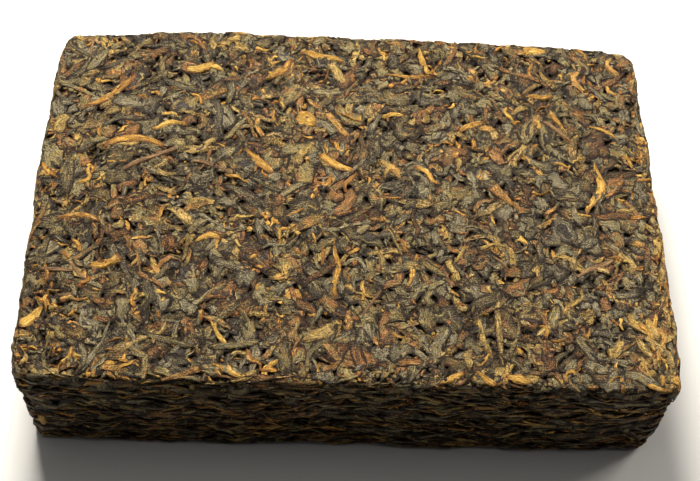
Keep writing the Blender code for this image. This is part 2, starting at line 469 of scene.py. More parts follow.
def leaf_grid(leaf):
    """Sheet coordinates and thickness of each leaf on a grid of 45 points along by 19 across.

    The heading turns evenly by bend and swings by sway, and adding it up gives the middle line. The
    half width is along to the power of one end, times what is left to the power of the other, times
    a ragged edge of straight pieces. The thickness is a flat topped arch across, less two creases
    that drift sideways, plus a twist that lifts one side and then the other, plus a cup.
    """
    one = {key: value[:, None] for key, value in leaf.items()}
    two = {key: value[:, None, None] for key, value in leaf.items()}
    s = ALONG - 0.5
    sway = one["sway"] * np.sin(SWAY_WAVE * s + one["sway_start"])
    heading = one["heading"] + one["bend"] * s + sway
    step = one["length"] / (len(ALONG) - 1)
    middle_a = np.cumsum(np.cos(heading), 1) * step
    middle_b = np.cumsum(np.sin(heading), 1) * step
    middle_a += one["a"] - middle_a.mean(1, keepdims=True)
    middle_b += one["b"] - middle_b.mean(1, keepdims=True)

    inside = np.clip(ALONG, 0.01, 0.99)
    arch = inside ** leaf["ends"][:, :1] * (1 - inside) ** leaf["ends"][:, 1:]
    arch /= arch.max(1, keepdims=True)
    edges = np.maximum(1 + two["ragged"] * (leaf["edge_knots"] @ HATS), LEAST_EDGE)
    half = one["width"] / 2 * arch
    right, left = (half * edges[:, 0])[..., None], (half * edges[:, 1])[..., None]
    side = -right + (right + left) * (ACROSS + 1) / 2
    a = middle_a[..., None] - np.sin(heading)[..., None] * side
    b = middle_b[..., None] + np.cos(heading)[..., None] * side

    flat_arch = np.sqrt(1 - np.abs(ACROSS) ** two["flat"])
    twist = TWIST_WAVE * two["twist_turns"] * s[:, None] + two["twist_start"]
    relief = 1 + two["twist"] * ACROSS * np.sin(twist)
    relief += two["cup"] * (ACROSS ** 2 - CUP_LEVEL)
    for n in (0, 1):
        line = one["crease_at"][..., n] + one["crease_drift"][..., n] * s
        off = (ACROSS - line[..., None]) / leaf["crease_width"][:, n, None, None]
        relief = relief - leaf["crease"][:, n, None, None] * np.exp(-off ** 2)
    lumps = 1 + LUMPINESS * (leaf["lump_knots"] @ HATS)[:, 0]
    thick = (one["thick"] * np.sqrt(arch) * lumps)[..., None] * flat_arch
    return a, b, thick * np.maximum(relief, THINNEST)

# %% [markdown]
# ## Drop the leaves
#
# Leaves fall in small batches. Each one finds the heights under it, smooths them as a soft leaf
# would, and lies on that. The map then takes the new heights. A physics simulation could do this,
# but not with more than thirty thousand leaves in a few seconds.

# %% Drop and drape
BATCH = 50
LEAST_SHOWN = 0.6 * MM ** 2  # leaves that show less than this are left out
BORDER = 20  # cells round a sheet that don't count when the bare share is printed


def weights(count, reach):
    """A matrix that smooths a line of count points: each row is a bell curve that adds up to 1."""
    apart = np.arange(count)[:, None] - np.arange(count)
    bell = np.exp(-((apart / reach) ** 2))
    return bell / bell.sum(1, keepdims=True)


SMOOTH_ALONG = weights(len(ALONG), reach=4.5)
SMOOTH_ACROSS = weights(len(ACROSS), reach=8.0)


def drape(sheet, leaves, number):
    """Lays a batch of leaves on the height map and returns their grids with the height they rest at."""
    a, b, thick = leaf_grid(leaves)
    row, column = sheet.cells(a, b)
    rest = SMOOTH_ALONG @ sheet.height[row, column] @ SMOOTH_ACROSS.T
    top = rest + thick
    np.maximum.at(sheet.height, (row, column), top)
    shows = top >= sheet.height[row, column] - 1e-9
    sheet.owner[row[shows], column[shows]] = np.broadcast_to(number[:, None, None], a.shape)[shows]
    return a, b, rest, thick


def joined(parts):
    """Joins dicts of arrays into one."""
    return {key: np.concatenate([p[key] for p in parts]) for key in parts[0]}


def picked(leaves, which):
    """The chosen rows of every array in a dict."""
    return {key: value[which] for key, value in leaves.items()}


def drop_all(sheet, last):
    """Drops a mixed rain of leaves, then the last ones, and keeps those that still show."""
    area = np.prod(2 * sheet.rain_half) / (10 * MM) ** 2
    total = int(area * sheet.look["rain"])
    rain = []
    for name, kind in KINDS.items():
        pale = 1.0 if kind["finish"] == "dark_leaf" else sheet.look["pale"]
        rain.append(drawn_leaves(name, int(total * kind["share"] * pale), sheet))
    rain = joined(rain)
    rain = picked(rain, RNG.permutation(len(rain["a"])))
    if last is not None:
        rain = joined([rain, last])
    count = len(rain["a"])
    grids = []
    for first in range(0, count, BATCH):
        number = np.arange(first, min(first + BATCH, count))
        grids.append(drape(sheet, picked(rain, number), number))
    rain.update(zip(("grid_a", "grid_b", "rest", "top"), map(np.concatenate, zip(*grids))))
    keep = np.bincount(sheet.owner[sheet.owner >= 0], minlength=count) * CELL ** 2 > LEAST_SHOWN
    bare = (sheet.height[BORDER:-BORDER, BORDER:-BORDER] == 0).mean()
    print(f"{sheet.name}: dropped {count}, {keep.sum()} still show, bare share {bare:.4f}")
    return picked(rain, keep)


# %% [markdown]
# ## Press the heap
# The press brings the tops into one plane. The height of the heap, smoothed over a few millimetres,
# is taken away from every leaf. What still stands proud is squeezed to a fraction, shallow steps are
# made shallower, and real gaps stay deep. Each leaf's edge is also rolled down a little, which leaves
# the fine dark seams between neighbours, and painted shade darkens these seams further.

# %% The press
PRESS_REACH = 1.7 * MM  # how wide the press evens out the heap
GAP_STARTS = 1.20 * MM  # below this depth a gap is no longer made shallower
DEEPEST = 1.2 * MM
SEAM_DEPTH = 0.52 * MM
SEAM_REACH = 0.4  # in cells
SEAM_GAIN = 1.5
PATCH_REACH = 6.0  # in cells
PATCH_MEAN, PATCH_SPREAD, PATCH_MOST = 0.6, 0.5, 1.6  # how strong the seams are from place to place
SQUEEZE = 2.4  # a leaf this many times proud high is pressed down to three quarters of proud
SEAM_SHADE = 0.95 * MM  # how much deeper a seam counts when the leaves are coloured


def settled_heap(sheet):
    """The heap's height, smoothed over PRESS_REACH; cells where nothing fell don't count."""
    covered = (sheet.height > 0).astype(float)
    reach = PRESS_REACH / CELL
    return blurred(sheet.height, reach) / np.maximum(blurred(covered, reach), 0.05)


def seams(sheet):
    """How far the press rolls edges down: near 1 where one leaf ends and the next begins, else 0."""
    owner = sheet.owner
    edge = (owner != np.roll(owner, 1, 0)) | (owner != np.roll(owner, 1, 1))
    patchy = blurred(RNG.normal(0, 1, sheet.shape), PATCH_REACH)
    patchy = np.clip(PATCH_MEAN + PATCH_SPREAD * patchy / patchy.std(), 0, PATCH_MOST)
    return np.clip(blurred(edge.astype(float), SEAM_REACH) * SEAM_GAIN, 0, 1) * patchy


def pressed(above, proud, step):
    """Heights after the press: proud parts are squeezed, shallow steps shrink, deep gaps stay."""
    squeezed = proud * np.tanh(np.maximum(above, 0) / (SQUEEZE * proud))
    depth = np.maximum(-above, 0)
    kept = step * depth + (1 - step) * np.maximum(depth - GAP_STARTS, 0)
    return squeezed - np.minimum(kept, DEEPEST)

# %% [markdown]
# ## The leaves that catch the eye
#
# A few dozen leaves give this brick its face: long golden buds, orange splinters, a red brown twig
# and a pale curl on the left edge. They fall last, so they lie on top. Their places are judged, to a
# twentieth of the half length and of the half width, so they move with the imported block.
#
# The right rim and its front corner are rubbed and broken, and so is the foot of the front wall. No
# single leaf matters there, so pale leaves are strewn over a rectangle.

# %% Leaves placed one by one, and strewn leaves
# kind, place as shares of the half length and the half width, heading in degrees, length and width
# in millimetres, bend in degrees, tone
STRIKING = [
    ("broad_leaf", -0.90, 0.10, 90, 14, 3.5, -15, 0.2),
    ("tawny_leaf", -0.95, 0.40, 90, 6, 4.0, 60, 0.9),
    ("golden_bud", -0.80, 0.60, 45, 15, 2.0, 30, 0.3),
    ("golden_bud", -0.70, 0.30, 0, 15, 2.0, -75, 0.4),
    ("stalk", -0.65, 0.20, 30, 13, 1.5, 0, 0.5),
    ("golden_bud", -0.60, 0.40, 15, 9, 1.5, 0, 0.9),
    ("golden_bud", -0.85, -0.15, 0, 10, 1.5, -60, 0.2),
    ("golden_bud", -0.50, 0.75, 0, 10, 2.5, 0, 0.9),
    ("golden_bud", -0.25, 0.75, 45, 10, 1.5, 45, 0.4),
    ("golden_bud", -0.15, 0.45, -15, 5, 4.0, 0, 0.8),
    ("golden_bud", -0.30, 0.20, -45, 10, 2.0, 0, 0.4),
    ("tawny_leaf", -0.15, 0.25, 60, 9, 2.5, 0, 0.6),
    ("golden_bud", -0.05, 0.20, -30, 9, 2.0, 15, 0.7),
    ("golden_bud", -0.10, 0.85, -15, 12, 2.0, -30, 0.6),
    ("tawny_leaf", -0.05, 0.75, -60, 8, 3.0, 0, 0.9),
    ("golden_bud", 0.25, 0.85, -75, 9, 1.5, 0, 0.7),
    ("golden_bud", 0.20, 0.75, 0, 12, 1.0, -15, 0.5),
    ("golden_bud", 0.65, 0.95, 0, 6, 2.5, 0, 0.9),
    ("golden_bud", 0.65, 0.65, 0, 7, 1.5, -15, 0.4),
    ("golden_bud", 0.70, 0.50, -60, 8, 1.5, 30, 0.4),
    ("golden_bud", 0.85, 0.45, -30, 8, 1.0, -45, 0.6),
    ("golden_bud", 0.25, 0.15, -45, 8, 1.5, 0, 0.6),
    ("golden_bud", 0.40, 0.45, 30, 7, 2.0, -30, 0.5),
    ("golden_bud", 0.80, 0.10, -105, 17, 2.0, -30, 0.8),
    ("golden_bud", -0.95, -0.70, 45, 7, 3.0, 15, 0.9),
    ("golden_bud", -0.75, -0.40, 15, 7, 2.5, 60, 0.6),
    ("stalk", -0.90, -0.45, 0, 8, 1.0, 0, 0.4),
    ("golden_bud", -0.45, -0.25, 15, 7, 1.5, -120, 0.8),
    ("golden_bud", -0.05, -0.40, -90, 16, 1.5, 15, 0.4),
    ("rolled_leaf", -0.55, -0.80, -15, 14, 2.0, 15, 0.3),
    ("golden_bud", -0.35, -0.95, -45, 5, 1.5, 75, 0.7),
    ("tawny_leaf", -0.10, -0.75, 30, 8, 3.0, 0, 0.7),
    ("golden_bud", 0.30, -0.95, 30, 6, 2.0, 0, 0.6),
    ("golden_bud", 0.40, -0.95, -45, 6, 2.0, 0, 0.4),
    ("golden_bud", 0.50, -0.95, -15, 6, 2.0, 0, 0.7),
    ("tawny_leaf", 0.35, -0.85, -90, 6, 2.0, 0, 0.6),
    ("tawny_leaf", 0.40, -0.75, -75, 13, 1.5, 0, 0.6),
    ("tawny_leaf", 0.45, -0.70, -90, 18, 1.5, 15, 0.5),
]
# The same for the front wall, as shares of its length from the left end and of its half height
STRIKING_WALL = [
    ("golden_bud", 0.10, 0.85, 30, 6, 2.0, 0, 0.5),
    ("tawny_leaf", 0.15, 0.85, 0, 7, 2.0, 0, 0.3),
    ("golden_bud", 0.00, -0.35, 90, 6, 2.0, 30, 0.9),
]
STRIKING_THICK = 1.15  # thickness and sway of these leaves, as shares of the usual
STRIKING_SWAY = 0.5
STRIKING_HUE, HUE_DROP = 0.6, 0.4  # hue of a dark one, and how much lower a pale one's is
# How many leaves of each kind, middle and half size of the rectangle in the same shares, heading in
# degrees, least tone
WORN_RIM = [
    (dict(golden_bud=14, tawny_leaf=24, golden_crumb=30), (0.99, 0.00), (0.03, 1.00), 90, 0.0),
    (dict(golden_bud=6, tawny_leaf=14, golden_crumb=8), (0.94, -0.80), (0.06, 0.20), 110, 0.5),
]
WORN_FOOT = [(dict(golden_bud=2, tawny_leaf=3), (0.55, -0.90), (0.45, 0.03), 0, 0.4)]
STREWN_LEAN = 0.5  # standard deviation of the headings of strewn leaves, in radians


def striking_leaves(sheet, reach, placed):
    """The placed leaves: the random numbers of their kinds, with their own sizes, tones and places.

    reach is the pair of lengths that the rows' shares are of.
    """
    rows = []
    for kind, x, y, heading, length, width, bend, tone in placed:
        leaf = drawn_leaves(kind, 1, sheet)
        own = dict(
            a=x * reach[0], b=y * reach[1], heading=math.radians(heading), length=length * MM,
            width=width * MM, bend=math.radians(bend), thick=STRIKING_THICK * leaf["thick"][0],
            sway=STRIKING_SWAY * leaf["sway"][0], tone=tone, hue=STRIKING_HUE - HUE_DROP * tone)
        rows.append({**leaf, **{key: np.array([float(value)]) for key, value in own.items()}})
    return joined(rows)


def strewn_leaves(sheet, reach, rectangles):
    """Leaves strewn evenly over rectangles. Their headings follow a bell curve round the given one."""
    parts = []
    for counts, middle, half, heading, least_tone in rectangles:
        strewn = joined([drawn_leaves(kind, count, sheet) for kind, count in counts.items()])
        count = len(strewn["a"])
        place = (np.array(middle) + (2 * RNG.random((count, 2)) - 1) * half) * reach
        strewn["a"], strewn["b"] = place.T
        strewn["heading"] = math.radians(heading) + RNG.normal(0, STREWN_LEAN, count)
        strewn["tone"] = between((least_tone, 1.0), count)
        parts.append(strewn)
    return joined(parts)

# %% [markdown]
# ## From grids to closed meshes
#
# A leaf's mesh takes some of its grid's points as rails over the top, and two more rails under it, so
# that each ring is closed. One point at each tip closes the ends. All leaves of one kind on one sheet
# become one mesh, and every index is worked out for all of them in one go.

# %% Points, faces and coordinates of many leaves
UNDER = 0.62  # where the two lower rails run, as a share of the half width
ROOT = 0.35 * MM  # how far they lie below the line that the leaf rests on
TOP_SHARE = 0.80  # how much of its texture cell the leaf's top takes up
CELL_MARGIN = 0.06
ENDS_CROWD = 0.3  # how much of the spread of rings and rails leans towards the ends
GROUND_GAP = 0.10 * MM  # nothing reaches lower than the ground; what would is squeezed into this


def spread_picks(count, points):
    """Which of a line's points to use: evenly spread, with a little more of them near the ends."""
    s = np.linspace(0, 1, count)
    s = (1 - ENDS_CROWD) * s + ENDS_CROWD * (0.5 - 0.5 * np.cos(math.pi * s))
    return np.unique((s * (points - 1)).round().astype(int))


def ring_points(sheet, leaves, along, across, heap, seam):
    """The leaves' points in rings: rails over the top from right to left, then two below.

    Also says how deep in the unpressed heap each point lay, seams counted deeper for the painted shade.
    """
    pick = np.ix_(np.arange(len(leaves["a"])), along, across)
    a, b, rest = leaves["grid_a"][pick], leaves["grid_b"][pick], leaves["rest"][pick]
    above = rest + leaves["top"][pick]
    share = np.array([(1 - UNDER) / 2, (1 + UNDER) / 2])
    low_a = a[..., -1:] * (1 - share) + a[..., :1] * share
    low_b = b[..., -1:] * (1 - share) + b[..., :1] * share
    low = rest[..., [-1, 0]] - ROOT
    a, b = np.concatenate([a, low_a], -1), np.concatenate([b, low_b], -1)
    above = np.concatenate([above, low], -1) - sheet.at(heap, CELL, a, b)
    rolled = sheet.at(seam, CELL, a, b)
    settled = pressed(above, sheet.look["proud"], sheet.look["step"]) - SEAM_DEPTH * rolled
    points = sheet.solid(a, b, settled)
    short = np.minimum(points[..., 2] / GROUND_GAP - 1, 0)
    points[..., 2] = np.where(short < 0, GROUND_GAP * np.exp(short), points[..., 2])
    return points, np.maximum(-above, 0) + SEAM_SHADE * rolled


def closed_tubes(count, rings, ring):
    """Faces of count closed tubes: quads between rings, and a fan of triangles at each end.

    Returns the corners' points, the faces' sizes, and for the corners of one tube their ring and step.
    """
    i, j = (n.ravel() for n in np.meshgrid(np.arange(rings - 1), np.arange(ring), indexing="ij"))
    quad_ring = np.stack([i, i + 1, i + 1, i], -1)
    quad_step = np.stack([j, j, j + 1, j + 1], -1)
    j = np.arange(ring)
    fan_ring = np.repeat([[-1, 0, 0], [rings, rings - 1, rings - 1]], ring, 0)
    fan_step = np.concatenate([np.stack([j, j, j + 1], -1), np.stack([j, j + 1, j], -1)])
    rings_of = np.concatenate([quad_ring.ravel(), fan_ring.ravel()])
    steps_of = np.concatenate([quad_step.ravel(), fan_step.ravel()])
    point = np.clip(rings_of, 0, rings - 1) * ring + steps_of % ring
    point = np.where(rings_of < 0, rings * ring, np.where(rings_of == rings, rings * ring + 1, point))
    sizes = np.concatenate([np.full(len(quad_ring), 4), np.full(len(fan_ring), 3)])
    leaf = np.arange(count)[:, None]
    corners = (leaf * (rings * ring + 2) + point).ravel()
    return corners, np.tile(sizes, count), rings_of, steps_of


def texture_cells(count, rings, rails, rings_of, steps_of):
    """Places on the texture: one cell of a square grid for each leaf, along it and round it."""
    columns = math.ceil(math.sqrt(count))
    under = TOP_SHARE + (1 - TOP_SHARE) * np.array([1, 2, 3]) / 3
    round_ring = np.concatenate([np.linspace(0, TOP_SHARE, rails), under])
    along = (np.clip(rings_of, -0.5, rings - 0.5) + 0.5) / rings
    inner = CELL_MARGIN + (1 - 2 * CELL_MARGIN) * np.stack([along, round_ring[steps_of]], -1)
    leaf = np.arange(count)
    cell = np.stack([leaf % columns, leaf // columns], -1)
    return ((cell[:, None, :] + inner[None]) / columns).reshape(-1, 2)


def per_point(count, values, tips):
    """Joins values for every ring point, as count x rings x ring, with those of the two tips."""
    return np.concatenate([values.reshape(count, -1), tips], 1).ravel().astype(np.float32)


# %% One piece from all leaves of a kind
SHARP_FROM = math.radians(30)
GRAIN_APART = 7.31  # moves each leaf's pattern away from the next one's
DEEP = 1.3 * MM  # this deep in the heap a leaf is in full shade
WAY_ROUND, TIPS_AT = 2.2, 0.8  # the way round a leaf, and where on it both tips count as, in widths
EDGE_POWER, TIP_POWER = 9, 8  # high powers keep the painted shade at a leaf's edges and tips narrow


def leaf_piece(name, sheet, leaves, kind, heap, seam):
    """One mesh object that holds all leaves of one kind on one sheet."""
    along = spread_picks(max(4, round(sheet.look["rings"] * kind["detail"])), len(ALONG))
    across = spread_picks(max(4, round(sheet.look["rails"] * kind["detail"] ** 0.5)), len(ACROSS))
    points, sunk = ring_points(sheet, leaves, along, across, heap, seam)
    count, rings, ring = points.shape[:3]
    ends = points[:, [0, -1]].mean(2)
    flat = np.concatenate([points.reshape(count, -1, 3), ends], 1).reshape(-1, 3)
    corners, sizes, rings_of, steps_of = closed_tubes(count, rings, ring)

    mesh = bpy.data.meshes.new(name)
    mesh.vertices.add(len(flat))
    mesh.vertices.foreach_set("co", flat.astype(np.float32).ravel())
    mesh.loops.add(len(corners))
    mesh.loops.foreach_set("vertex_index", corners.astype(np.int32))
    mesh.polygons.add(len(sizes))
    starts = np.concatenate([[0], np.cumsum(sizes)[:-1]])
    mesh.polygons.foreach_set("loop_start", starts.astype(np.int32))
    mesh.update(calc_edges=True)
    mesh.polygons.foreach_set("use_smooth", np.ones(len(sizes), bool))
    mesh.set_sharp_from_angle(angle=SHARP_FROM)
    atlas = mesh.uv_layers.new(name="OFBake")
    places = texture_cells(count, rings, len(across), rings_of, steps_of)
    atlas.data.foreach_set("uv", places.astype(np.float32).ravel())

    length, width = (leaves[key] / MM for key in ("length", "width"))
    whole = (count, rings, ring)
    steps = np.broadcast_to(np.arange(ring) / ring * WAY_ROUND * width[:, None, None], whole)
    lengths = np.broadcast_to(ALONG[along][:, None] * length[:, None, None], whole)
    whose = np.broadcast_to(np.arange(count)[:, None, None] * GRAIN_APART, whole)
    zero = np.zeros(count)
    grain = np.stack([
        per_point(count, lengths, np.stack([zero, length], 1)),
        per_point(count, steps, np.stack([width, width], 1) * TIPS_AT),
        per_point(count, whose, whose[:, 0, :2]),
    ], -1)
    mesh.attributes.new("grain", "FLOAT_VECTOR", "POINT").data.foreach_set("vector", grain.ravel())
    # rim is near 1 at a leaf's edges and tips, where the finishes paint shade into the colour
    edge = np.abs(np.concatenate([ACROSS[across], [-1, 1]])) ** EDGE_POWER
    edge = np.maximum(edge, (np.abs(2 * ALONG[along] - 1) ** TIP_POWER)[:, None])
    edge = np.broadcast_to(edge, whole)
    ones = np.ones((count, 2))
    depth = np.clip(sunk / DEEP, 0, 1)
    read = {
        "rim": per_point(count, edge, ones),
        "depth": per_point(count, depth, depth[:, [0, -1]].mean(2)),
        "tone": np.repeat(leaves["tone"], rings * ring + 2).astype(np.float32),
        "hue": np.repeat(leaves["hue"], rings * ring + 2).astype(np.float32),
    }
    for key, values in read.items():
        mesh.attributes.new(key, "FLOAT", "POINT").data.foreach_set("value", values)
    mesh.materials.append(MATERIALS[kind["finish"]])
    piece = bpy.data.objects.new(name, mesh)
    bpy.context.scene.collection.objects.link(piece)
    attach(piece, "root")
    return piece

# %% [markdown]
# ## Finishes shared by the leaves
#
# All leaves come from the same bush and the same pile, so their finishes share four effects: fibres
# that run along the leaf, a colour that wanders from dark to light with painted shade at the edges and
# in the folds, painted shade down in the gaps, and the fine ribs that the press cloth left on the top
# face. Each effect is a node group, and each kind of leaf places it with values of its own. Painted
# pictures would be simpler, but groups stay sharp at any distance and can be tuned for each kind.

# %% Small helpers for node trees


def put(tree, kind, inputs=(), **settings):
    """Adds a node. inputs gives each socket a value, or links it when the value is another socket."""
    made = tree.nodes.new(kind)
    for key, value in settings.items():
        setattr(made, key, value)
    for key, value in dict(inputs).items():
        if isinstance(value, bpy.types.NodeSocket):
            tree.links.new(value, made.inputs[key])
        else:
            made.inputs[key].default_value = value
    return made


def maths(tree, operation, first, second=0.0):
    """The result of one step of arithmetic on two values or sockets."""
    return put(tree, "ShaderNodeMath", {0: first, 1: second}, operation=operation).outputs[0]


def times(tree, first, second):
    return maths(tree, "MULTIPLY", first, second)


def minus(tree, first, second):
    return maths(tree, "SUBTRACT", first, second)


def summed(tree, start, parts, middle=0.0):
    """start plus, for each part, its value less middle, times its weight."""
    for value, weight in parts:
        value = minus(tree, value, middle) if middle else value
        start = maths(tree, "ADD", start, times(tree, value, weight))
    return start


def ramped(tree, value, low, high, smooth=True):
    """0 below low, 1 above high, and between them a soft or a straight rise."""
    kind = "SMOOTHSTEP" if smooth else "LINEAR"
    made = put(tree, "ShaderNodeMapRange", {"Value": value, "From Min": low, "From Max": high},
               interpolation_type=kind)
    return made.outputs["Result"]


def mixed(tree, factor, first, second, blend="MIX"):
    """Mixes two colours; the Mix node's colour sockets are its seventh and eighth."""
    made = put(tree, "ShaderNodeMix", {0: factor, 6: first, 7: second}, data_type="RGBA",
               blend_type=blend)
    return made.outputs[2]


def noise_of(tree, vector, scale, detail=2.0, rough=0.5, warp=0.0):
    """A smooth random value round 0.5 at each place."""
    made = put(tree, "ShaderNodeTexNoise", {"Vector": vector, "Scale": scale, "Detail": detail,
                                            "Roughness": rough, "Distortion": warp})
    return made.outputs["Fac"]


def group(name, inputs, outputs):
    """A new shader node group. inputs and outputs map names to "Float", "Color" or "Vector"."""
    tree = bpy.data.node_groups.new(name, "ShaderNodeTree")
    for direction, sockets in (("INPUT", inputs), ("OUTPUT", outputs)):
        for key, kind in sockets.items():
            tree.interface.new_socket(key, in_out=direction, socket_type="NodeSocket" + kind)
    return tree, put(tree, "NodeGroupInput").outputs, put(tree, "NodeGroupOutput").inputs


def placed(tree, made_group, inputs=()):
    """Places a group in a material with its own values."""
    return put(tree, "ShaderNodeGroup", inputs, node_tree=made_group).outputs


# %% Fibres, crumples and grit of a leaf
# The grain attribute is in millimetres: along the leaf, round it, and which leaf it is.
LEAF_FIBRES, given, result = group(
    "leaf_fibres",
    {"Grain": "Vector", "Fibre Length": "Float", "Fibre Width": "Float", "Crumple Size": "Float",
     "Grit Size": "Float", "Facet Size": "Float"},
    {"Fibres": "Float", "Crumple": "Float", "Grit": "Float", "Folds": "Float", "Facet": "Float",
     "Speck": "Float", "Height": "Float"})
tree = LEAF_FIBRES
along = maths(tree, "DIVIDE", 1.0, given["Fibre Length"])
across = maths(tree, "DIVIDE", 1.0, given["Fibre Width"])
shrink = put(tree, "ShaderNodeCombineXYZ", {"X": along, "Y": across, "Z": 1.0}).outputs[0]
drawn_out = put(tree, "ShaderNodeVectorMath", {0: given["Grain"], 1: shrink}, operation="MULTIPLY")
fibres = noise_of(tree, drawn_out.outputs[0], 1.0, detail=2.0, rough=0.6, warp=0.5)
crumple = noise_of(tree, given["Grain"], maths(tree, "DIVIDE", 1.0, given["Crumple Size"]),
                   detail=3.0, rough=0.6, warp=0.4)
grit = noise_of(tree, given["Grain"], maths(tree, "DIVIDE", 1.0, given["Grit Size"]), detail=1.0)
shift = put(tree, "ShaderNodeCombineXYZ", {"X": crumple, "Y": fibres}).outputs[0]
wander = put(tree, "ShaderNodeVectorMath", {0: given["Grain"], 1: shift}, operation="ADD").outputs[0]
slim = put(tree, "ShaderNodeVectorMath", {0: wander, 1: (0.55, 1.0, 1.0)}, operation="MULTIPLY")
facets = put(tree, "ShaderNodeTexVoronoi", {
    "Vector": slim.outputs[0], "Scale": maths(tree, "DIVIDE", 1.0, given["Facet Size"])})
chance = put(tree, "ShaderNodeSeparateColor", {"Color": facets.outputs["Color"]}).outputs
off_fold = maths(tree, "ABSOLUTE", minus(tree, fibres, 0.5))
folds = ramped(tree, off_fold, 0.0, 0.05)
height = summed(tree, times(tree, folds, 0.35), (
    (crumple, 0.55), (fibres, 0.55), (grit, 0.45), (facets.outputs["Distance"], 0.28)))
for key, value in {"Fibres": fibres, "Crumple": crumple, "Grit": grit, "Folds": folds,
                   "Facet": chance["Red"], "Speck": chance["Green"], "Height": height}.items():
    tree.links.new(value, result[key])
print(LEAF_FIBRES.name, "has", len(LEAF_FIBRES.nodes), "nodes")

# %% Colour that wanders from dark to light
# Leaves of one age still differ: some are slate grey, some olive and some red brown.
COOL_TINT = (0.86, 1.00, 1.22, 1.0)
OLIVE_TINT = (0.95, 1.00, 0.74, 1.0)
RED_TINT = (1.07, 0.69, 0.43, 1.0)

LEAF_COLOUR, given, result = group(
    "leaf_colour",
    {"Dark": "Color", "Main": "Color", "Light": "Color", "Speck": "Color", "Tone": "Float",
     "Tone Share": "Float", "Fibres": "Float", "Crumple": "Float", "Grit": "Float", "Rim": "Float",
     "Painted Rim Shade": "Float", "Grain": "Vector", "Speck Share": "Float", "Folds": "Float",
     "Facet": "Float", "Speck Chance": "Float", "Hue": "Float", "Hue Share": "Float",
     "Grit Share": "Float"},
    {"Color": "Color"})
tree = LEAF_COLOUR
patches = noise_of(tree, given["Grain"], 0.45, detail=1.0)
lightness = summed(tree, times(tree, minus(tree, given["Tone"], 0.5), given["Tone Share"]), (
    (patches, 0.3), (given["Fibres"], 0.95), (given["Crumple"], 0.35),
    (given["Grit"], given["Grit Share"]), (given["Facet"], 0.14)), middle=0.5)
# painted shade: where rim is near 1, at each leaf's edges and tips, a share below 0 darkens the colour
lightness = summed(tree, maths(tree, "ADD", lightness, 0.5), [(given["Rim"], given["Painted Rim Shade"])])
colour = mixed(tree, ramped(tree, lightness, 0.10, 0.55, False), given["Dark"], given["Main"])
colour = mixed(tree, ramped(tree, lightness, 0.55, 1.00, False), colour, given["Light"])
specks = noise_of(tree, given["Grain"], 2.4, detail=2.0, rough=0.65)
edge_of_specks = minus(tree, 0.72, times(tree, given["Speck Share"], 0.5))
specks = times(tree, minus(tree, specks, edge_of_specks), 9.0)
specks = put(tree, "ShaderNodeClamp", {"Value": specks}).outputs[0]
lucky = minus(tree, 1.0, times(tree, given["Speck Share"], 0.30))
lucky = times(tree, maths(tree, "GREATER_THAN", given["Speck Chance"], lucky), 0.45)
specks = maths(tree, "MAXIMUM", specks, lucky)
colour = mixed(tree, specks, colour, given["Speck"])
# painted shade along the fold lines, which the bump sinks: they are mixed towards the dark colour
fold_shade = times(tree, minus(tree, 1.0, given["Folds"]), 0.65)
colour = mixed(tree, fold_shade, colour, given["Dark"])
hue = summed(tree, given["Hue"], [(patches, 1.2)], middle=0.5)
tint = mixed(tree, ramped(tree, hue, 0.15, 0.65, False), COOL_TINT, OLIVE_TINT)
tint = mixed(tree, ramped(tree, hue, 0.66, 0.94, False), tint, RED_TINT)
tree.links.new(mixed(tree, given["Hue Share"], colour, tint, "MULTIPLY"), result["Color"])
print(LEAF_COLOUR.name, "has", len(LEAF_COLOUR.nodes), "nodes")

# %% Painted shade down in the gaps
GAP_SHADE, given, result = group(
    "gap_shade",
    {"Color": "Color", "Depth": "Float", "Shade": "Color", "Strength": "Float"},
    {"Color": "Color"})
tree = GAP_SHADE
deep = times(tree, ramped(tree, given["Depth"], 0.62, 1.15), given["Strength"])
tree.links.new(mixed(tree, deep, given["Color"], given["Shade"]), result["Color"])

# %% Ribs of the press cloth
# Fine ribs that run along the brick, only on what the cloth touched: the upper side's flat tops.
RIB_PITCH = 0.60 * MM
WAVE_BANDS = 20 / (2 * math.pi)  # bands that a Wave texture makes in a metre at a scale of 1
PRESS_CLOTH, given, result = group(
    "press_cloth",
    {"Position": "Vector", "Depth": "Float", "Strength": "Float"},
    {"Height": "Float", "Wear": "Float"})
tree = PRESS_CLOTH
ribs = put(tree, "ShaderNodeTexWave", {
    "Vector": given["Position"], "Scale": 1 / (RIB_PITCH * WAVE_BANDS), "Distortion": 2.2,
    "Detail": 2.0, "Detail Scale": 2.0}, bands_direction="Y").outputs["Fac"]
worn = ramped(tree, noise_of(tree, given["Position"], 95.0, detail=2.0), 0.42, 0.60)
height = put(tree, "ShaderNodeSeparateXYZ", {"Vector": given["Position"]}).outputs["Z"]
upper = ramped(tree, height, HEIGHT - 1.6 * MM, HEIGHT - 0.6 * MM)
touched = minus(tree, 1.0, ramped(tree, given["Depth"], 0.0, 0.25))
where = times(tree, times(tree, worn, upper), touched)
where = times(tree, where, given["Strength"])
tree.links.new(times(tree, ribs, where), result["Height"])
wear = times(tree, minus(tree, ribs, 0.6), 0.45)
tree.links.new(times(tree, wear, where), result["Wear"])
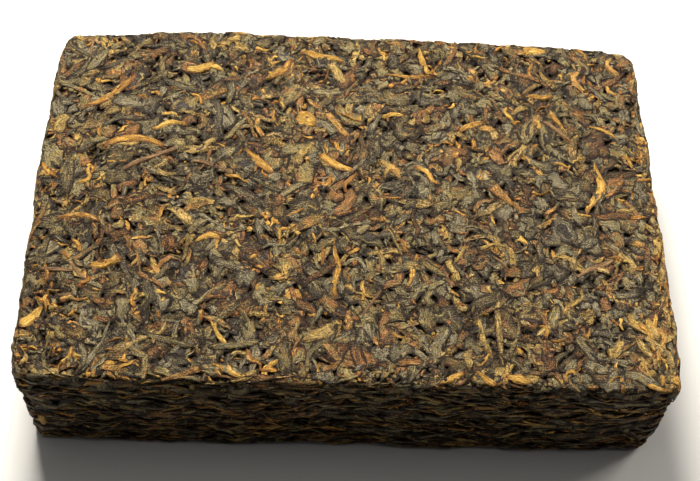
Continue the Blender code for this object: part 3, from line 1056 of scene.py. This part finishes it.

# %% [markdown]
# ## The finishes
#
# A leaf's finish mixes three colours of its own, from the dark brown of a well fermented leaf to the
# ochre of a young one. Dark leaves have a faint dry gloss, which turns them grey towards the light, so
# their own colour is darker than they look.

# %% One recipe, a row of values for each finish
# rim is the painted shade at each leaf's edges and tips: below 0 darkens them
FINISHES = {
    "dark_leaf": dict(
        dark=(0.019, 0.010, 0.004), main=(0.177, 0.125, 0.058), light=(0.288, 0.212, 0.102),
        speck=(0.42, 0.26, 0.080), tone=0.58, rim=-2.30, specks=0.10, fibre=(3.4, 0.30), crumple=0.55,
        grit=0.22, bump=0.46, rough=(0.46, 0.66), cloth=1.0, hue=1.0, facet=0.70,
        speckle=2.7),
    "tawny_leaf": dict(
        dark=(0.050, 0.027, 0.010), main=(0.262, 0.160, 0.047), light=(0.445, 0.280, 0.073),
        speck=(0.54, 0.34, 0.10), tone=0.65, rim=-1.60, specks=0.26, fibre=(3.4, 0.30), crumple=0.55,
        grit=0.22, bump=0.44, rough=(0.50, 0.70), cloth=0.8, hue=0.55, facet=0.70,
        speckle=2.4),
    "golden_bud": dict(
        dark=(0.150, 0.056, 0.011), main=(0.395, 0.205, 0.032), light=(0.565, 0.355, 0.074),
        speck=(0.66, 0.45, 0.16), tone=0.70, rim=-1.00, specks=0.14, fibre=(3.0, 0.30), crumple=0.5,
        grit=0.26, bump=0.40, rough=(0.54, 0.72), cloth=0.4, hue=0.25, facet=0.60,
        speckle=1.3),
    "stalk": dict(
        dark=(0.080, 0.040, 0.018), main=(0.165, 0.088, 0.036), light=(0.290, 0.165, 0.066),
        speck=(0.44, 0.28, 0.12), tone=0.50, rim=-0.20, specks=0.14, fibre=(5.0, 0.24), crumple=0.6,
        grit=0.24, bump=0.26, rough=(0.52, 0.70), cloth=0.2, hue=0.15, facet=0.70,
        speckle=1.3),
    "pressed_tea": dict(
        dark=(0.026, 0.016, 0.008), main=(0.080, 0.055, 0.025), light=(0.170, 0.108, 0.040),
        speck=(0.25, 0.15, 0.05), tone=0.0, rim=0.0, specks=0.20, fibre=(1.4, 0.8), crumple=0.9,
        grit=0.3, bump=0.60, rough=(0.66, 0.85), cloth=0.0, hue=0.0, facet=0.90,
        speckle=2.5),
}
# painted shade: deep places in the heap and the seams are mixed towards this colour
SHADE = (0.015, 0.0085, 0.0035, 1.0)
SHADE_STRENGTH = 0.78
GLOSS = 0.20
RIB_HEIGHT = 0.05 * MM


def tea_finish(name, dark, main, light, speck, tone, rim, specks, fibre, crumple, grit, bump, rough,
               cloth, hue, facet, speckle):
    """A leaf's material: the four shared effects with this finish's own values, then the shader."""
    material = bpy.data.materials.new(name)
    material.use_nodes = True
    tree = material.node_tree
    shader = tree.nodes["Principled BSDF"]
    shader.inputs["Specular IOR Level"].default_value = GLOSS
    read = {key: put(tree, "ShaderNodeAttribute", attribute_name=key).outputs
            for key in ("grain", "tone", "hue", "rim", "depth")}
    grain, depth = read["grain"]["Vector"], read["depth"]["Fac"]
    position = put(tree, "ShaderNodeTexCoord").outputs["Object"]
    fibres = placed(tree, LEAF_FIBRES, {
        "Grain": grain, "Fibre Length": fibre[0], "Fibre Width": fibre[1], "Crumple Size": crumple,
        "Grit Size": grit, "Facet Size": facet})
    passed_on = {key: fibres[key] for key in ("Fibres", "Crumple", "Grit", "Folds", "Facet")}
    coloured = placed(tree, LEAF_COLOUR, {
        "Dark": (*dark, 1), "Main": (*main, 1), "Light": (*light, 1), "Speck": (*speck, 1),
        "Tone": read["tone"]["Fac"], "Rim": read["rim"]["Fac"], "Hue": read["hue"]["Fac"],
        "Tone Share": tone, "Painted Rim Shade": rim, "Hue Share": hue, "Grit Share": speckle,
        "Speck Share": specks, "Speck Chance": fibres["Speck"], "Grain": grain, **passed_on})
    ribs = placed(tree, PRESS_CLOTH, {"Position": position, "Depth": depth, "Strength": cloth})
    worn = mixed(tree, ribs["Wear"], coloured["Color"], (*light, 1))
    shaded = placed(tree, GAP_SHADE, {
        "Color": worn, "Depth": depth, "Shade": SHADE, "Strength": SHADE_STRENGTH})
    tree.links.new(shaded["Color"], shader.inputs["Base Color"])
    rough_from = ramped(tree, fibres["Crumple"], 0.35, 0.65)
    spread = times(tree, rough_from, rough[1] - rough[0])
    tree.links.new(maths(tree, "ADD", spread, rough[0]), shader.inputs["Roughness"])
    relief = put(tree, "ShaderNodeBump", {
        "Height": fibres["Height"], "Distance": bump * MM, "Strength": 1.0}).outputs["Normal"]
    relief = put(tree, "ShaderNodeBump", {
        "Height": ribs["Height"], "Distance": RIB_HEIGHT, "Strength": 1.0, "Normal": relief})
    tree.links.new(relief.outputs["Normal"], shader.inputs["Normal"])
    return material


MATERIALS = {name: tea_finish(name, **values) for name, values in FINISHES.items()}
print("finishes:", ", ".join(MATERIALS))

# %% [markdown]
# ## Make the leaves of every sheet
#
# Each sheet gets its own rain, press and meshes. On the top and the front wall, the strewn leaves and
# those that catch the eye fall last.

# %% Leaves round the whole block
triangles = 0
for sheet in sheets:
    last = None
    if sheet.name == "top":
        face = sheet.rain_half
        last = joined([
            strewn_leaves(sheet, face, WORN_RIM),
            striking_leaves(sheet, face, STRIKING)])
    if sheet.name == "sides":
        wall = np.array([STRAIGHTS[0], HEIGHT / 2])
        last = joined([
            strewn_leaves(sheet, wall, WORN_FOOT),
            striking_leaves(sheet, wall, STRIKING_WALL)])
    shown = drop_all(sheet, last)
    heap, seam = settled_heap(sheet), seams(sheet)
    for index, (kind_name, kind) in enumerate(KINDS.items()):
        chosen = picked(shown, shown["kind"] == index)
        piece = leaf_piece(f"{kind_name}_{sheet.name}", sheet, chosen, kind, heap, seam)
        made = sum(len(p.vertices) - 2 for p in piece.data.polygons)
        triangles += made
        print(f"{piece.name}: {len(chosen['a'])} leaves, {made} triangles")
print(f"{triangles} triangles of leaves in all")

# %% [markdown]
# ## The core
#
# Between the leaves, the inside of the brick shows as dark crumbs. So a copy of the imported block, pulled
# in by a little less than a millimetre and with a crumbly relief, takes the place of the plain block.

# %% The core
CORE_INSET = 0.8 * MM
CRUMB_HEIGHT = 0.30 * MM
CRUMB_WAVES = 4200.0  # radians per metre, so a crumb is about 1.5 mm across
CRUMB_BEND = 2.7  # the waves are bent by waves this many times as long

block = bmesh.new()
block.from_mesh(packed)
bmesh.ops.remove_doubles(block, verts=block.verts, dist=0.001 * MM)
bmesh.ops.subdivide_edges(block, edges=block.edges, cuts=1, use_grid_fill=True)
block.normal_update()
core_mesh = bpy.data.meshes.new("core")
block.to_mesh(core_mesh)
block.free()


def crumbly(points):
    """Relief between -1 and 1: the product of three waves, each along its own slanted direction."""
    directions = np.array([[0.9, 0.3, 0.3], [-0.3, 0.9, 0.4], [0.2, -0.5, 0.8]])
    bent = np.sin(points * CRUMB_WAVES / CRUMB_BEND)
    return np.sin(points @ directions.T * CRUMB_WAVES + bent).prod(-1)


points = np.empty(len(core_mesh.vertices) * 3, np.float32)
core_mesh.vertices.foreach_get("co", points)
normals = np.empty_like(points)
core_mesh.vertices.foreach_get("normal", normals)
points, normals = points.reshape(-1, 3), normals.reshape(-1, 3)
core_points = points - normals * (CORE_INSET - CRUMB_HEIGHT * crumbly(points))[:, None]
core_mesh.vertices.foreach_set("co", core_points.astype(np.float32).ravel())
core_mesh.update()
grain = core_mesh.attributes.new("grain", "FLOAT_VECTOR", "POINT")
grain.data.foreach_set("vector", (core_points / MM).astype(np.float32).ravel())
core_mesh.materials.append(MATERIALS["pressed_tea"])
core = bpy.data.objects.new("core", core_mesh)
bpy.context.scene.collection.objects.link(core)
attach(core, "root")
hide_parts(BRICK)
print(f"core: {len(core_mesh.polygons)} faces")
